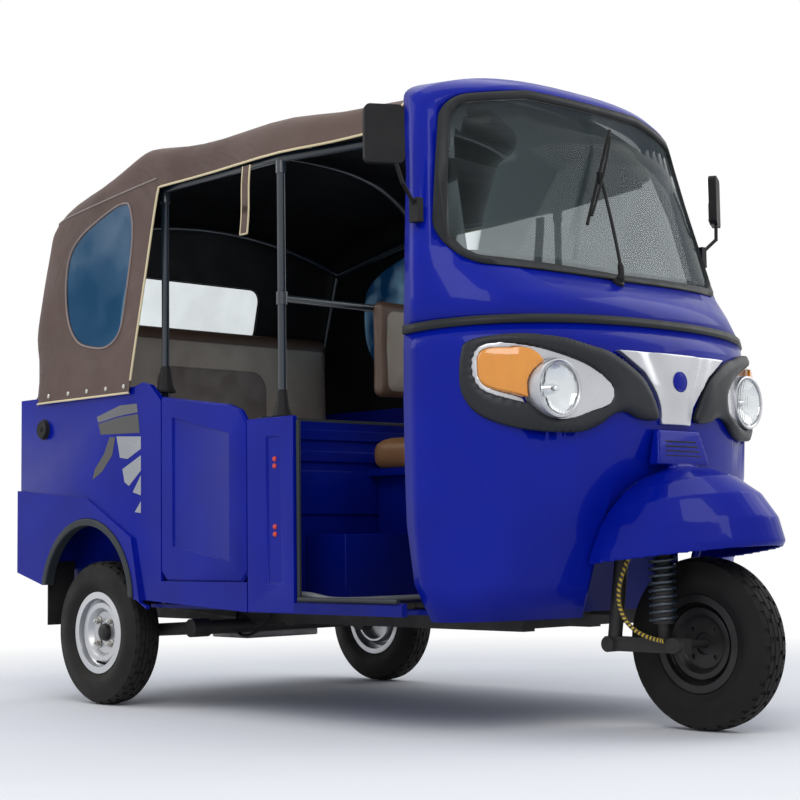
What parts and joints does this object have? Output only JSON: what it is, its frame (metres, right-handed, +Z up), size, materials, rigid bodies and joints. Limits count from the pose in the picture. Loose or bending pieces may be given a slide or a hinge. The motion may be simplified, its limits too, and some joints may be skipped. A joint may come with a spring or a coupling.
{
  "type": "auto rickshaw",
  "caption": "Passenger auto rickshaw with a steel tub, single steered front wheel, soft canopy over a tube frame, blind side panel and rear engine lid.",
  "frame": {"origin": "on the ground under the middle of the whole vehicle's outline", "axes": "+Y to the vehicle's rear, +X to its left-hand side, +Z up; it faces -Y"},
  "size_m": [1.6852, 2.856, 1.98],
  "materials": {
    "blue_paint": "gloss royal blue paint",
    "black_steel": "satin black paint",
    "silver_steel": "silver wheel enamel",
    "rubber": "matt black rubber",
    "tyre": "black tyre rubber",
    "glass": "clear, slightly blue",
    "lamp_glass": "clear lens",
    "orange_lens": "orange lens",
    "red_lens": "red lens",
    "charcoal_plastic": "grained charcoal plastic",
    "silver_plastic": "silver painted plastic",
    "canopy_cloth": "coated taupe canopy cloth",
    "seat_vinyl": "taupe and brown seat vinyl",
    "tan_vinyl": "tan seat vinyl",
    "engine_metal": "cast engine housing"
  },
  "bodies": {
    "body": {"chassis_frame": "black_steel", "floor_pan": "blue_paint", "wheel_housing": "blue_paint", "front_cowl": "blue_paint", "belt_bead": "rubber", "windscreen_frame": "blue_paint", "windscreen_seal": "rubber", "windscreen_glass": "glass", "headlamp_mask": "charcoal_plastic", "nose_panel": "silver_plastic", "headlamps": "lamp_glass", "indicators": "orange_lens", "front_fender": "blue_paint", "wiper": "charcoal_plastic", "mirrors": "charcoal_plastic", "dashboard": "charcoal_plastic", "partition": "blue_paint", "pillar_panels": "blue_paint", "side_panel": "blue_paint", "quarter_panel_right": "blue_paint", "quarter_panel_left": "blue_paint", "rear_panel": "blue_paint", "arch_trims": "rubber", "mud_flaps": "rubber", "tail_lamps": "red_lens", "roof_frame": "black_steel", "canopy": "canopy_cloth", "canopy_windows": "glass", "seat_box": "blue_paint", "driver_cushion": "tan_vinyl", "driver_backrest": "seat_vinyl", "passenger_base": "charcoal_plastic", "passenger_cushion": "seat_vinyl", "passenger_backrest": "seat_vinyl", "engine": "engine_metal", "rear_arms": "black_steel", "rear_shocks": "black_steel"},
    "steering": {"steering_column": "black_steel", "front_fork": "black_steel", "front_shock": "black_steel"},
    "front_wheel": {"front_rim": "black_steel", "front_tyre": "tyre"},
    "rear_wheel_right": {"rear_rim_right": "silver_steel", "rear_tyre_right": "tyre"},
    "rear_wheel_left": {"rear_rim_left": "silver_steel", "rear_tyre_left": "tyre"},
    "engine_lid": {"engine_lid": "blue_paint"}
  },
  "joints": [
    {"name": "steering_turn", "type": "hinge", "parent": "body", "child": "steering", "pos_m": [0, -1.148, 0.25], "axis": [0, 0.4226, 0.9063], "range_deg": [-40, 40]},
    {"name": "front_wheel_spin", "type": "hinge", "parent": "steering", "child": "front_wheel", "pos_m": [0, -1.178, 0.25], "axis": [1, 0, 0], "continuous": true},
    {"name": "rear_wheel_right_spin", "type": "hinge", "parent": "body", "child": "rear_wheel_right", "pos_m": [-0.653, 0.922, 0.25], "axis": [1, 0, 0], "continuous": true},
    {"name": "rear_wheel_left_spin", "type": "hinge", "parent": "body", "child": "rear_wheel_left", "pos_m": [0.653, 0.922, 0.25], "axis": [1, 0, 0], "continuous": true},
    {"name": "engine_lid_hinge", "type": "hinge", "parent": "body", "child": "engine_lid", "pos_m": [0, 1.41, 0.945], "axis": [1, 0, 0], "range_deg": [0, 75]}
  ]
}
